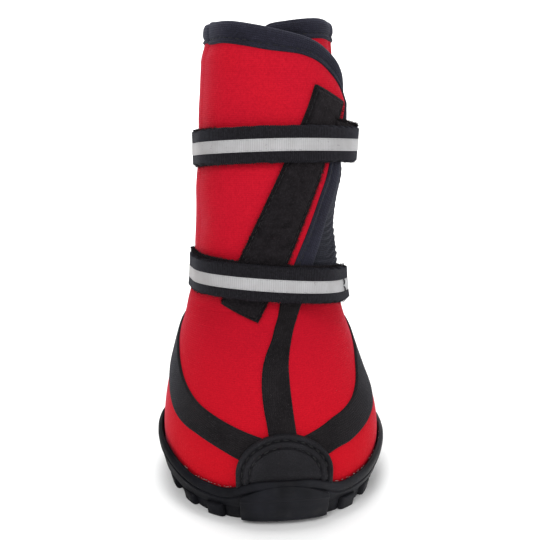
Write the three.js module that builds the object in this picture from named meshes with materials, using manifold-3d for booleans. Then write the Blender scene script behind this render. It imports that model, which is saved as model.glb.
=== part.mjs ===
// Dog bootie: a tall neoprene paw boot with a wrap-over shaft, millimetres, +Z up.
// The toe points towards -Y and the shaft leans back towards +Y.
// Origin: on the floor, under the middle of the sole.
// Every piece is laid on one last: a point on it is given by an angle round the leg
// (degrees, 0 at the toe, 90 at the +X side), a height, and an offset out of its surface.

import * as THREE from 'three';
import Module from 'manifold-3d';

const wasm = await Module();
wasm.setup();

// ---------------------------------------------------------------- driving sizes

const WALL = 3;                 // neoprene wall of the upper
const GAP = 0.35;               // clearance between curved pieces
const SIDES = 56;               // facets round the leg

const TREAD = 2.6;              // depth of the lugs
const CUP_FLOOR = 6.5;          // top of the sole's base, under the upper
const INSOLE_THICKNESS = 2.8;
const TOE_SPRING = 2.5;         // rise of the sole at the toe
const SPRING_START = -20;       // y where the sole begins to rise
const SPRING_LENGTH = 28;
const ARCH_LIFT = 1.2;          // how far the waist's lugs stay off the floor
const ARCH_MIDDLE = 6;
const ARCH_HALF_LENGTH = 12;

const FLAP_LEFT = -75;          // angle where the outer flap grows out of the wall
const FLAP_BOTTOM = 69;         // height where it merges with the vamp
const FLAP_CLEARANCE = 0.4;
const FLAP_THICKNESS = 2.8;
const TAPE_THICKNESS = 1;       // loop tape sewn on the flap
const TAPE_GAP = 0.6;

const STRAP_WIDTH = 13;
const STRAP_THICKNESS = 1.5;

const CAP_HALF_ANGLE = 23.5;    // toe cap's reach each side of the toe
const CAP_SHOULDER = 18;
const CAP_TOP = 33.2;
const CAP_THICKNESS = 1.7;

// ------------------------------------------------------------------- the tables

// Horizontal sections of the last. Each is a superellipse with its own front and back
// depth; lean tips the section back with the shaft.
const LAST = table(
  ['height', 'centreX', 'centreY', 'halfWidth', 'front', 'back', 'lean', 'frontPower', 'backPower'],
  [
    [6, 0.3, 4, 41.4, 47.5, 40, 0, 2.15, 2.3],
    [18, 0.4, 4, 42.8, 48.5, 41.5, 0, 2.15, 2.3],
    [30, 0.2, 4, 41.7, 46, 41.2, 0, 2.15, 2.3],
    [42, -0.9, 4.5, 38.3, 42, 39.1, 0.02, 2.1, 2.2],
    [56, -1.6, 5.2, 34.1, 35.5, 34.8, 0.06, 2.05, 2.1],
    [68, -1.7, 6.2, 30.5, 30, 31, 0.1, 2, 2],
    [82, -1.4, 7.5, 27.8, 27, 28, 0.13, 2, 2],
    [98, -1, 9.5, 27, 26.3, 26.7, 0.14, 2, 2],
    [125, -0.2, 13.3, 26.3, 25.5, 25.7, 0.14, 2, 2],
    [150, 0.5, 16.8, 25.5, 24.8, 24.9, 0.14, 2, 2],
    [176, 1, 20.5, 24.2, 24, 24, 0.14, 2, 2],
  ],
);

// Height of the collar's top edge round the leg.
const COLLAR = table(['angle', 'height'], [
  [-180, 172.5], [-90, 173], [-60, 172.5], [-37, 172], [-12, 170.5],
  [-3, 172.2], [13, 173.2], [32, 174.2], [52, 174.8], [78, 174.6], [110, 173.6], [180, 172.5],
]);

// Top edge of the outer flap, and the free edge down its right side.
const FLAP_TOP = table(['angle', 'height'], [
  [-75, 173.2], [-40, 173.4], [-25, 172.2], [-11, 171], [3, 169.5], [18, 168.3], [26, 167.4],
  [35, 166.3], [44, 164.8], [53, 162.7], [62, 160], [71, 156.7], [80, 152.5], [90, 146],
]);
const FLAP_EDGE = table(['height', 'angle'], [
  [69, 19], [76, 23], [82, 27], [90, 33.5], [98, 41.5], [107, 49.5], [116, 58],
  [122, 63], [130, 73], [138, 82.5], [146, 90],
]);

// Centre line and width of the loop tape that crosses the flap.
const LOOP_TAPE = table(['step', 'angle', 'height', 'width'], [
  [0, -24, 70.4, 15.9], [1, -7.8, 87.5, 15.4], [2, 8.5, 106.5, 14.6], [3, 23.3, 123.1, 14.3],
  [4, 47.7, 148.1, 15.4],
]);

// Top edge of the rubber rand, by the angle away from the toe.
const RAND_TOP = table(['angle', 'height'], [
  [0, 16], [12, 15.8], [20, 14.2], [28, 12.4], [38, 13], [48, 14.4],
  [56, 16.2], [64, 17.8], [74, 18.8], [110, 19.2], [180, 20],
]);

// Side of the sole from the tread up: heights up to the base's shoulder are from the
// floor, the ones above it hang from the rand's top edge.
const SOLE_SIDE = [
  { height: TREAD, offset: -1.4 },
  { height: 4, offset: -0.1 },
  { height: 6.6, offset: 1.5 },
  { belowTop: 4.4, offset: 2.6 },
  { belowTop: 3.9, offset: 2.1 },
  { belowTop: 3.3, offset: 2.6 },
  { belowTop: 0.8, offset: 2.3 },
  { belowTop: 0, offset: 1.4 },
];

// Straps: height of the middle, how much lower it lies on the right, how much it bows up
// at toe and heel, and how far it stands off the last. Turn counts degrees along the strap,
// so that 360 is the toe side again after once round the leg.
const UPPER_STRAP = {
  centre: 129.7,
  slope: -0.4,
  bow: 0.6,
  run: table(['turn', 'offset'], [
    [110, 0.5], [150, 0.5], [250, 0.6], [285, 1.2], [305, 3.6], [325, 5], [400, 5.1],
    [430, 7.1], [455, 8.5], [475, 6.8], [500, 3], [520, 2.4],
  ]),
};
const LOWER_STRAP = {
  centre: 80.3,
  slope: 3.1,
  bow: 0.6,
  run: table(['turn', 'offset'], [
    [62, 0.5], [150, 0.5], [250, 0.3], [285, 0.6], [305, 3.2], [325, 4.9], [375, 4.9],
    [400, 4.2], [420, 2.7], [436, 3],
  ]),
};

// Blocks of the tread inside the rim of lugs: rows across the sole.
const TREAD_ROWS = [
  { y: -30, count: 2, spacing: 18, width: 12, length: 8 },
  { y: -17, count: 3, spacing: 19, width: 12, length: 8 },
  { y: -4, count: 3, spacing: 21, width: 13, length: 8 },
  { y: 9, count: 3, spacing: 21, width: 13, length: 8 },
  { y: 22, count: 3, spacing: 20, width: 13, length: 8 },
  { y: 34, count: 2, spacing: 18, width: 12, length: 7 },
];
const RIM_LUGS = 17;
const RIM_LUG_HALF_ANGLE = 4.9;
const FIRST_LUG = 35.5;         // angle of the first lug beside the toe bumper

// -------------------------------------------------------------------- functions

function table(columns, rows) {
  return { columns, rows };
}

// Reads a table at a key with a smooth curve through its rows.
function lookUp(source, key) {
  const { columns, rows } = source;
  const last = rows.length - 1;
  const at = Math.min(Math.max(key, rows[0][0]), rows[last][0]);
  let low = 0;
  while (low < last - 1 && rows[low + 1][0] <= at) low += 1;
  const span = rows[low + 1][0] - rows[low][0];
  const t = (at - rows[low][0]) / span;
  const slope = (index, column) => {
    const before = rows[Math.max(index - 1, 0)];
    const after = rows[Math.min(index + 1, last)];
    return (after[column] - before[column]) / (after[0] - before[0]);
  };
  const result = {};
  columns.forEach((name, column) => {
    const start = rows[low][column];
    const end = rows[low + 1][column];
    const startSlope = slope(low, column) * span;
    const endSlope = slope(low + 1, column) * span;
    result[name] = start * (2 * t ** 3 - 3 * t ** 2 + 1) + startSlope * (t ** 3 - 2 * t ** 2 + t)
      + end * (3 * t ** 2 - 2 * t ** 3) + endSlope * (t ** 3 - t ** 2);
  });
  return result;
}

function smoothStep(value, from, to) {
  return THREE.MathUtils.smoothstep(value, from, to);
}

// Toe spring lifts sole and vamp together; the arch lifts only the tread under the waist.
function lift(y, height) {
  const along = Math.max((SPRING_START - y) / SPRING_LENGTH, 0);
  const spring = TOE_SPRING * along ** 2 * (1 - smoothStep(height, 20, 60));
  const fromMiddle = Math.min(Math.abs(y - ARCH_MIDDLE) / ARCH_HALF_LENGTH, 1);
  const arch = ARCH_LIFT * (1 - fromMiddle ** 2) * (1 - smoothStep(height, 0, TREAD));
  return spring + arch;
}

// A point on the bare last, before the toe spring.
function sectionPoint(angle, height) {
  const section = lookUp(LAST, height);
  const turn = THREE.MathUtils.degToRad(angle);
  const across = Math.sin(turn);
  const along = Math.cos(turn);
  const depth = along > 0 ? section.front : section.back;
  const power = along > 0 ? section.frontPower : section.backPower;
  const reach = (Math.abs(across) ** power + Math.abs(along) ** power) ** (-1 / power);
  const dy = -depth * along * reach;
  const x = section.centreX + section.halfWidth * across * reach;
  return new THREE.Vector3(x, section.centreY + dy, height - section.lean * dy);
}

function sectionNormal(angle, height) {
  const round = sectionPoint(angle + 0.1, height).sub(sectionPoint(angle - 0.1, height));
  const up = sectionPoint(angle, height + 0.1).sub(sectionPoint(angle, height - 0.1));
  return round.cross(up).normalize();
}

// A point off the last. Fraction draws it in towards the middle of its section.
function lastPoint(angle, height, offset, fraction = 1) {
  const point = sectionPoint(angle, height);
  point.addScaledVector(sectionNormal(angle, height), offset);
  const section = lookUp(LAST, height);
  point.x = section.centreX + (point.x - section.centreX) * fraction;
  point.y = section.centreY + (point.y - section.centreY) * fraction;
  point.z += lift(point.y, height);
  return point;
}

function ring(height, offset, fraction = 1) {
  return Array.from({ length: SIDES }, (_, side) => {
    const angle = -180 + (360 * side) / SIDES;
    const level = typeof height === 'function' ? height(angle) : height;
    return lastPoint(angle, level, offset, fraction);
  });
}

function randTop(angle) {
  return lookUp(RAND_TOP, Math.abs(angle)).height;
}

// Makes a geometry from points and triangles, with its faces pointing out.
function toGeometry(points, triangles) {
  const volume = triangles.reduce((sum, [a, b, c]) => (
    sum + points[a].dot(points[b].clone().cross(points[c]))), 0);
  const faces = volume < 0 ? triangles.map(([a, b, c]) => [a, c, b]) : triangles;
  const geometry = new THREE.BufferGeometry();
  const positions = points.flatMap((point) => point.toArray());
  geometry.setAttribute('position', new THREE.Float32BufferAttribute(positions, 3));
  geometry.setIndex(faces.flat());
  return geometry;
}

// Joins rings of equal count: into a tube closed on itself, or into a body whose
// first and last rings are capped.
function skin(rings, closed) {
  const count = rings[0].length;
  const points = rings.flat();
  const triangles = [];
  const steps = closed ? rings.length : rings.length - 1;
  for (let step = 0; step < steps; step += 1) {
    const here = step * count;
    const next = ((step + 1) % rings.length) * count;
    for (let side = 0; side < count; side += 1) {
      const beside = (side + 1) % count;
      triangles.push([here + side, here + beside, next + beside]);
      triangles.push([here + side, next + beside, next + side]);
    }
  }
  if (!closed) {
    const cap = (start, flip) => {
      const middle = points.length;
      const centre = new THREE.Vector3();
      for (let side = 0; side < count; side += 1) centre.addScaledVector(points[start + side], 1 / count);
      points.push(centre);
      for (let side = 0; side < count; side += 1) {
        const pair = [start + side, start + ((side + 1) % count)];
        triangles.push(flip ? [middle, pair[1], pair[0]] : [middle, pair[0], pair[1]]);
      }
    };
    cap(0, true);
    cap((rings.length - 1) * count, false);
  }
  return toGeometry(points, triangles);
}

// A solid spread over a four-sided field of the last, between two offset surfaces.
// place(u, v) gives { angle, height }; inner and outer give offsets there.
function fieldSolid({ across, along, place, inner, outer }) {
  const points = [];
  const columns = across + 1;
  const layer = columns * (along + 1);
  for (const offset of [outer, inner]) {
    for (let row = 0; row <= along; row += 1) {
      for (let column = 0; column <= across; column += 1) {
        const { angle, height } = place(column / across, row / along);
        points.push(lastPoint(angle, height, offset(angle, height)));
      }
    }
  }
  const triangles = [];
  const quad = (a, b, c, d) => triangles.push([a, b, c], [a, c, d]);
  for (let row = 0; row < along; row += 1) {
    for (let column = 0; column < across; column += 1) {
      const a = row * columns + column;
      const c = a + columns + 1;
      quad(a, a + 1, c, c - 1);
      quad(layer + a, layer + c - 1, layer + c, layer + a + 1);
    }
  }
  for (let column = 0; column < across; column += 1) {
    const top = along * columns + column;
    quad(column + 1, column, layer + column, layer + column + 1);
    quad(top, top + 1, layer + top + 1, layer + top);
  }
  for (let row = 0; row < along; row += 1) {
    const left = row * columns;
    const right = left + across;
    quad(left, left + columns, layer + left + columns, layer + left);
    quad(right + columns, right, layer + right, layer + right + columns);
  }
  return toGeometry(points, triangles);
}

function toSolid(geometry) {
  return new wasm.Manifold(new wasm.Mesh({
    numProp: 3,
    vertProperties: Float32Array.from(geometry.attributes.position.array),
    triVerts: Uint32Array.from(geometry.index.array),
  }));
}

function fromSolid(solid) {
  const mesh = solid.getMesh();
  const geometry = new THREE.BufferGeometry();
  geometry.setAttribute('position', new THREE.Float32BufferAttribute(mesh.vertProperties, 3));
  geometry.setIndex(Array.from(mesh.triVerts));
  return geometry;
}

function joined(geometries) {
  return fromSolid(geometries.map(toSolid).reduce((whole, part) => whole.add(part)));
}

// ------------------------------------------------------------------------ upper

// How far the outer flap has grown out of the wall, from 0 to 1.
function flapGrowth(angle, height) {
  return smoothStep(angle, FLAP_LEFT + 5, FLAP_LEFT + 38) * smoothStep(height, FLAP_BOTTOM + 1, 84);
}

function flapInner(angle, height) {
  return THREE.MathUtils.lerp(-1.9, FLAP_CLEARANCE, flapGrowth(angle, height));
}

function flapOuter(angle, height) {
  return THREE.MathUtils.lerp(-0.5, FLAP_CLEARANCE + FLAP_THICKNESS, flapGrowth(angle, height));
}

// The wall all round the paw and leg, open at the collar and underneath.
function wall() {
  const levels = [12, 18, 24, 30, 37, 44, 51, 58, 65, 72, 80, 90, 105, 122, 140, 158];
  const foot = CUP_FLOOR + GAP;
  const collar = (angle) => lookUp(COLLAR, angle).height;
  const heights = [foot, ...levels, collar];
  const outside = heights.map((height) => ring(height, 0));
  const inside = heights.map((height) => ring(height, -WALL)).reverse();
  return skin([...outside, ...inside], true);
}

// The outer flap: it leaves the wall on the left and laps over the front to the right.
function flap() {
  const [cornerHeight, cornerAngle] = FLAP_EDGE.rows[FLAP_EDGE.rows.length - 1];
  return fieldSolid({
    across: 20,
    along: 14,
    place: (u, v) => {
      const edgeHeight = THREE.MathUtils.lerp(FLAP_BOTTOM, cornerHeight, v);
      const edge = lookUp(FLAP_EDGE, edgeHeight).angle;
      const top = lookUp(FLAP_TOP, THREE.MathUtils.lerp(FLAP_LEFT, cornerAngle, u)).height;
      return {
        angle: THREE.MathUtils.lerp(FLAP_LEFT, edge, u),
        height: THREE.MathUtils.lerp(FLAP_BOTTOM, top, v),
      };
    },
    inner: flapInner,
    outer: flapOuter,
  });
}

function makeUpper() {
  return joined([wall(), flap()]);
}

// ------------------------------------------------------------- tape, straps, cap

// Distance out to the top of whatever covers the wall on the front.
function coverOffset(angle, height) {
  return Math.max(flapOuter(angle, height), 0);
}

// Steps a distance in millimetres sideways from a centre line on the last.
function sideStep(centre, next, distance) {
  const here = sectionPoint(centre.angle, centre.height);
  const round = sectionPoint(centre.angle + 1, centre.height).sub(here);
  const up = sectionPoint(centre.angle, centre.height + 1).sub(here);
  const ahead = sectionPoint(next.angle, next.height).sub(here).normalize();
  const sideways = ahead.cross(sectionNormal(centre.angle, centre.height)).normalize();
  return {
    angle: centre.angle + (distance * sideways.dot(round)) / round.lengthSq(),
    height: centre.height + (distance * sideways.dot(up)) / up.lengthSq(),
  };
}

function makeLoopTape() {
  const lastStep = LOOP_TAPE.rows.length - 1;
  return fieldSolid({
    across: 6,
    along: 16,
    place: (u, v) => {
      const step = v * (lastStep - 0.01);
      const centre = lookUp(LOOP_TAPE, step);
      const next = lookUp(LOOP_TAPE, step + 0.01);
      return sideStep(centre, next, (u - 0.5) * centre.width);
    },
    inner: (angle, height) => coverOffset(angle, height) + TAPE_GAP,
    outer: (angle, height) => coverOffset(angle, height) + TAPE_GAP + TAPE_THICKNESS,
  });
}

// A webbing strap: a flat band that goes once round the leg and laps over its own start.
function makeStrap({ centre, slope, bow, run }) {
  const firstTurn = run.rows[0][0];
  const lastTurn = run.rows[run.rows.length - 1][0];
  const stations = Math.round((lastTurn - firstTurn) / 6);
  const rings = [];
  for (let station = 0; station <= stations; station += 1) {
    const turn = THREE.MathUtils.lerp(firstTurn, lastTurn, station / stations);
    const { offset } = lookUp(run, turn);
    const around = THREE.MathUtils.degToRad(turn);
    const middle = centre - slope * Math.sin(around) + bow * Math.cos(2 * around);
    const low = middle - STRAP_WIDTH / 2;
    const high = middle + STRAP_WIDTH / 2;
    rings.push([
      lastPoint(turn, low, offset),
      lastPoint(turn, low, offset + STRAP_THICKNESS),
      lastPoint(turn, high, offset + STRAP_THICKNESS),
      lastPoint(turn, high, offset),
    ]);
  }
  return skin(rings, false);
}

// Toe cap: the shell between two offset lasts that an arch over the toe cuts out.
function makeToeCap() {
  return fieldSolid({
    across: 12,
    along: 6,
    place: (u, v) => {
      const side = 2 * u - 1;
      const angle = side * CAP_HALF_ANGLE;
      const arch = CAP_SHOULDER + (CAP_TOP - CAP_SHOULDER) * Math.sqrt(1 - side ** 2);
      return { angle, height: THREE.MathUtils.lerp(randTop(angle) + GAP, arch, v) };
    },
    inner: () => GAP,
    outer: () => GAP + CAP_THICKNESS,
  });
}

// ------------------------------------------------------------------ sole, insole

function soleBody() {
  const fractions = [0.3, 0.7];
  const under = fractions.map((fraction) => ring(TREAD, SOLE_SIDE[0].offset, fraction));
  const side = SOLE_SIDE.map(({ height, belowTop, offset }) => (
    ring((angle) => height ?? randTop(angle) - belowTop, offset)));
  const cup = [1, 0.6, 0.3].map((share) => (
    ring((angle) => THREE.MathUtils.lerp(CUP_FLOOR, randTop(angle), share), GAP)));
  const floor = [1, ...fractions.slice().reverse()].map((fraction) => ring(CUP_FLOOR, GAP, fraction));
  return skin([...under, ...side, ...cup, ...floor], false);
}

// The thick rubber bumper under the toe cap, with an arched top edge.
function toeBumper() {
  const halfAngle = 21;
  const shoulder = 11.2;
  const crown = 14.4;
  return fieldSolid({
    across: 10,
    along: 4,
    place: (u, v) => {
      const side = 2 * u - 1;
      const top = shoulder + (crown - shoulder) * (1 - side ** 2);
      return { angle: side * halfAngle, height: v * top };
    },
    inner: (angle, height) => (height < 4 ? -3 : GAP + 0.8),
    outer: (angle, height) => 3.3 + 1.4 * smoothStep(height, 0, 5) - 1.1 * smoothStep(height, 8, crown),
  });
}

// A lug under the rim: the outer row has its side on the sole's edge, and the inner row
// stands behind its gaps.
function rimLug(angle, outermost) {
  return fieldSolid({
    across: 1,
    along: 1,
    place: (u, v) => ({
      angle: angle + (2 * u - 1) * RIM_LUG_HALF_ANGLE,
      height: v * (TREAD + 2),
    }),
    inner: () => outermost - 8,
    outer: (place, height) => outermost + 0.25 * height,
  });
}

function treadBlock(x, y, width, length) {
  const geometry = new THREE.BoxGeometry(width, length, TREAD + 0.5);
  geometry.translate(x, y, (TREAD + 0.5) / 2);
  const position = geometry.attributes.position;
  const corners = [];
  const seen = new Map();
  const remap = Array.from({ length: position.count }, (_, index) => {
    const corner = new THREE.Vector3().fromBufferAttribute(position, index);
    const key = corner.toArray().join();
    if (!seen.has(key)) {
      seen.set(key, corners.length);
      corner.z += lift(corner.y, corner.z);
      corners.push(corner);
    }
    return seen.get(key);
  });
  const order = Array.from(geometry.index.array, (index) => remap[index]);
  const triangles = [];
  for (let first = 0; first < order.length; first += 3) triangles.push(order.slice(first, first + 3));
  return toGeometry(corners, triangles);
}

function makeOutsole() {
  const pieces = [soleBody(), toeBumper()];
  const pitch = (360 - 2 * FIRST_LUG) / (RIM_LUGS - 1);
  for (let index = 0; index < RIM_LUGS; index += 1) {
    pieces.push(rimLug(FIRST_LUG + pitch * index, -0.4));
    pieces.push(rimLug(FIRST_LUG + pitch * (index - 0.5), -2.2));
  }
  pieces.push(rimLug(-FIRST_LUG + pitch / 2, -3.6));
  for (const { y, count, spacing, width, length } of TREAD_ROWS) {
    for (let index = 0; index < count; index += 1) {
      pieces.push(treadBlock((index - (count - 1) / 2) * spacing, y, width, length));
    }
  }
  return joined(pieces);
}

function makeInsole() {
  const low = CUP_FLOOR + GAP;
  const high = low + INSOLE_THICKNESS;
  const edge = -WALL - GAP;
  const fractions = [0.3, 0.7];
  const under = [...fractions, 1].map((fraction) => ring(low, edge, fraction));
  const over = [1, ...fractions.slice().reverse()].map((fraction) => ring(high, edge, fraction));
  return skin([...under, ...over], false);
}

// --------------------------------------------------------------------- materials

function cloth(colour, roughness) {
  return new THREE.MeshStandardMaterial({ color: colour, roughness, metalness: 0 });
}

const NEOPRENE = cloth(0xc8162c, 0.9);
const RUBBER = cloth(0x1b1c20, 0.6);
const CAP_LEATHER = cloth(0x1e1e22, 0.7);
const WEBBING = cloth(0x14151c, 0.9);
const LOOP_PILE = cloth(0x17171a, 1);
const FOAM = cloth(0x26262a, 0.95);

// ------------------------------------------------------------------------- group

const group = new THREE.Group();

function addPiece(name, geometry, material) {
  const mesh = new THREE.Mesh(geometry, material);
  mesh.name = name;
  group.add(mesh);
}

addPiece('outsole', makeOutsole(), RUBBER);
addPiece('insole', makeInsole(), FOAM);
addPiece('upper', makeUpper(), NEOPRENE);
addPiece('toe_cap', makeToeCap(), CAP_LEATHER);
addPiece('loop_tape', makeLoopTape(), LOOP_PILE);
addPiece('strap_upper', makeStrap(UPPER_STRAP), WEBBING);
addPiece('strap_lower', makeStrap(LOWER_STRAP), WEBBING);

export default group;
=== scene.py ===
"""Looks of the dog bootie: neoprene, bindings, tapes, straps, toe cap and rubber sole.

Sizes are in millimetres in the tables and become metres where a mesh is made. A place on the
boot is an angle round the leg (degrees, 0 at the toe, 90 at +X), a height, and an offset out
of the last, which is the same last as the CAD model's.
"""

import math

import bpy
import numpy as np
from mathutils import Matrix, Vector


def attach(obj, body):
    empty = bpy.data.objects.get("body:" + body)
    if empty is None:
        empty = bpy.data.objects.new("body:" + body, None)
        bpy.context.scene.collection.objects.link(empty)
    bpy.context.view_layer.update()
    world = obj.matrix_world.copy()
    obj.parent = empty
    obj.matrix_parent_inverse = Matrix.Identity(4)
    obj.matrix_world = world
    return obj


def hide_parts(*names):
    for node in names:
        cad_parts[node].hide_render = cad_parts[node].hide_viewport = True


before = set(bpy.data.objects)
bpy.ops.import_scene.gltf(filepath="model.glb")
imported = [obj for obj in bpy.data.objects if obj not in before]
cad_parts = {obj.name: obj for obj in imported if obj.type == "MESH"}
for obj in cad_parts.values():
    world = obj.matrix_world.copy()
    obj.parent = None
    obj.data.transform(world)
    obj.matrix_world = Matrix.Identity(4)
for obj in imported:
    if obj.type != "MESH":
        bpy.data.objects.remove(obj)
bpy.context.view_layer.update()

MM = 0.001
rng = np.random.default_rng(11)


# ------------------------------------------------------------------ tables and the last

class Table:
    """Rows with named columns, read along the first column with a smooth curve."""

    def __init__(self, columns, rows):
        self.columns = columns.split()
        self.rows = np.array(rows, float)

    def at(self, key):
        rows = self.rows
        places = rows[:, 0]
        key = np.clip(np.asarray(key, float), places[0], places[-1])
        low = np.clip(np.searchsorted(places, key, side="right") - 1, 0, len(places) - 2)
        before = np.maximum(np.arange(len(places)) - 1, 0)
        after = np.minimum(np.arange(len(places)) + 1, len(places) - 1)
        slopes = (rows[after] - rows[before]) / (places[after] - places[before])[:, None]
        span = (places[low + 1] - places[low])[..., None]
        t = ((key - places[low]) / span[..., 0])[..., None]
        value = (
            rows[low] * (2 * t**3 - 3 * t**2 + 1) + slopes[low] * span * (t**3 - 2 * t**2 + t)
            + rows[low + 1] * (3 * t**2 - 2 * t**3) + slopes[low + 1] * span * (t**3 - t**2)
        )
        return dict(zip(self.columns, np.moveaxis(value, -1, 0)))


LAST = Table("height x y half_width front back lean front_power back_power", [
    (6, 0.3, 4, 41.4, 47.5, 40, 0, 2.15, 2.3),
    (18, 0.4, 4, 42.8, 48.5, 41.5, 0, 2.15, 2.3),
    (30, 0.2, 4, 41.7, 46, 41.2, 0, 2.15, 2.3),
    (42, -0.9, 4.5, 38.3, 42, 39.1, 0.02, 2.1, 2.2),
    (56, -1.6, 5.2, 34.1, 35.5, 34.8, 0.06, 2.05, 2.1),
    (68, -1.7, 6.2, 30.5, 30, 31, 0.1, 2, 2),
    (82, -1.4, 7.5, 27.8, 27, 28, 0.13, 2, 2),
    (98, -1, 9.5, 27, 26.3, 26.7, 0.14, 2, 2),
    (125, -0.2, 13.3, 26.3, 25.5, 25.7, 0.14, 2, 2),
    (150, 0.5, 16.8, 25.5, 24.8, 24.9, 0.14, 2, 2),
    (176, 1, 20.5, 24.2, 24, 24, 0.14, 2, 2),
])
COLLAR = Table("angle height", [
    (-180, 172.5), (-90, 173), (-60, 172.5), (-37, 172), (-12, 170.5),
    (-3, 172.2), (13, 173.2), (32, 174.2), (52, 174.8), (78, 174.6), (110, 173.6), (180, 172.5),
])
FLAP_TOP = Table("angle height", [
    (-110, 173), (-75, 173.2), (-40, 173.4), (-25, 172.2), (-11, 171), (3, 169.5),
    (18, 168.3), (26, 167.4), (35, 166.3), (44, 164.8), (53, 162.7), (62, 160),
    (71, 156.7), (80, 152.5), (90, 146),
])
FLAP_EDGE = Table("height angle", [
    (69, 19), (76, 23), (82, 27), (90, 33.5), (98, 41.5), (107, 49.5), (116, 58),
    (122, 63), (130, 73), (138, 82.5), (146, 90),
])
LOOP_TAPE = Table("step angle height width", [
    (0, -24, 70.4, 15.9), (1, -7.8, 87.5, 15.4), (2, 8.5, 106.5, 14.6), (3, 23.3, 123.1, 14.3),
    (4, 47.7, 148.1, 15.4),
])
RAND_TOP = Table("angle height", [
    (0, 16), (12, 15.8), (20, 14.2), (28, 12.4), (38, 13), (48, 14.4),
    (56, 16.2), (64, 17.8), (74, 18.8), (110, 19.2), (180, 20),
])
UPPER_RUN = Table("turn offset", [
    (110, 0.5), (150, 0.5), (250, 0.6), (285, 1.2), (305, 3.6), (325, 5), (400, 5.1),
    (430, 7.1), (455, 8.5), (475, 6.8), (500, 3), (520, 2.4),
])
LOWER_RUN = Table("turn offset", [
    (62, 0.5), (150, 0.5), (250, 0.3), (285, 0.6), (305, 3.2), (325, 4.9), (375, 4.9),
    (400, 4.2), (420, 2.7), (436, 3),
])
FRONT_TAPE = Table("height left right", [
    (30, -7.2, 6.8), (36, -7.6, 6.9), (41, -8.4, 7.1), (46, -8.9, 7.2), (50, -8.7, 7.4),
    (54, -7.7, 7.9), (58, -5.3, 9.3), (62, -1.6, 11.7), (66, 1.1, 14.7), (70, 3.9, 19),
    (74, 5.4, 23), (78, 8, 26), (84, 11, 30),
])
LEFT_BAND = Table("angle low high", [
    (10, 20.5, 31.5), (20, 22.7, 33.9), (30, 26, 36.4), (38, 28.2, 38.3), (46, 29.9, 40.2),
    (54, 30.9, 42.8), (62, 32.2, 46), (70, 34.6, 50), (80, 38.8, 55), (95, 45, 61),
    (120, 53, 67), (150, 58, 70), (180, 60, 72),
])
RIGHT_BAND = Table("angle low high", [
    (10, 20.3, 31.5), (20, 23.2, 34), (28, 25.4, 36.1), (35, 26.3, 37.3), (42, 27.7, 38.8),
    (48, 28.8, 40.5), (56, 30.2, 44), (66, 32, 50), (80, 36.5, 56), (95, 43, 61.5),
    (120, 51, 67), (150, 57, 70), (180, 60, 72),
])

WALL = 3.0
CUP_FLOOR = 6.5
TREAD = 2.6
TOE_SPRING = 2.5
SPRING_START = -20
SPRING_LENGTH = 28
ARCH_LIFT = 1.2
ARCH_MIDDLE = 6
ARCH_HALF_LENGTH = 12
FLAP_LEFT = -75
FLAP_BOTTOM = 69
FLAP_CLEARANCE = 0.4
FLAP_THICKNESS = 2.8
FLAP_RECESS = 1.1       # how far the wall sinks under the flap
RIM_PINCH = 1.3         # how far it thins into its binding
OPEN_SIDE_PINCH = 0.2   # and where it hangs open, beside the flap's corner
BACK_TAPE_WIDTH = 9
STRAP_WIDTH = 13
STRAP_THICKNESS = 1.5
STRAP_GRIP = 0.5        # how deep a strap presses into the neoprene
GRIP_SWELL = 0.15       # and how far the neoprene swells beside it
GRIP_REACH = 6
SWELL_MIDDLE = 14       # from the strap's middle line
CLOTH_RADIUS = 28       # turns degrees round the leg into lengths on the cloth
UPPER_STRAP = dict(centre=129.7, slope=-0.4, bow=0.6, run=UPPER_RUN)
LOWER_STRAP = dict(centre=80.3, slope=3.1, bow=0.6, run=LOWER_RUN)

# Soft troughs (negative depth) and ridges in the neoprene: angle and height of the middle,
# length, width, depth, and slant from level in degrees.
CREASES = [
    (35, 70, 12, 4, -0.9, -20),
    (50, 62, 14, 5, 0.5, -25),
    (-52, 72, 12, 3.5, -0.7, 15),
    (-40, 63, 15, 5, 0.4, 22),
    (-70, 100, 10, 5, -0.6, 8),
    (-60, 113, 14, 5, 0.45, -6),
    (-30, 146, 16, 6, 0.35, 10),
    (10, 152, 18, 5, -0.4, -14),
    (120, 68, 16, 4, -1.0, 12),
    (-130, 69, 16, 4, -1.0, -12),
    (180, 76, 18, 4, -1.2, 0),
    (150, 104, 16, 5, -0.7, 8),
    (-150, 148, 16, 6, -0.6, -8),
    (100, 150, 14, 6, -0.6, 10),
    (90, 98, 17, 8, -1.3, 0),
    (84, 120.5, 10, 8, 2.2, 0),
    (-30, 61, 13, 3, -0.4, -18),
    (-10, 64, 10, 3, 0.3, -30),
]


def smooth_step(value, low, high):
    t = np.clip((np.asarray(value, float) - low) / (high - low), 0, 1)
    return t * t * (3 - 2 * t)


def fall(value, low, high):
    return 1 - smooth_step(value, low, high)


def bell(value, middle, width):
    return np.exp(-((value - middle) / width)**2)


def quarter_round(share):
    """The height of a rounded edge, share 0 at the edge and 1 where it is level."""
    return np.sqrt(1 - (1 - np.clip(share, 0, 1))**2)


def mix(a, b, share):
    return a + (b - a) * share


def joined(*columns):
    """Columns of numbers side by side, one row for each place."""
    return np.stack(np.broadcast_arrays(*columns), axis=-1)


def lift(y, height):
    """Toe spring of sole and vamp, and the arch under the waist."""
    along = np.maximum((SPRING_START - y) / SPRING_LENGTH, 0)
    spring = TOE_SPRING * along**2 * fall(height, 20, 60)
    off_middle = np.minimum(np.abs(y - ARCH_MIDDLE) / ARCH_HALF_LENGTH, 1)
    return spring + ARCH_LIFT * (1 - off_middle**2) * fall(height, 0, TREAD)


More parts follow.
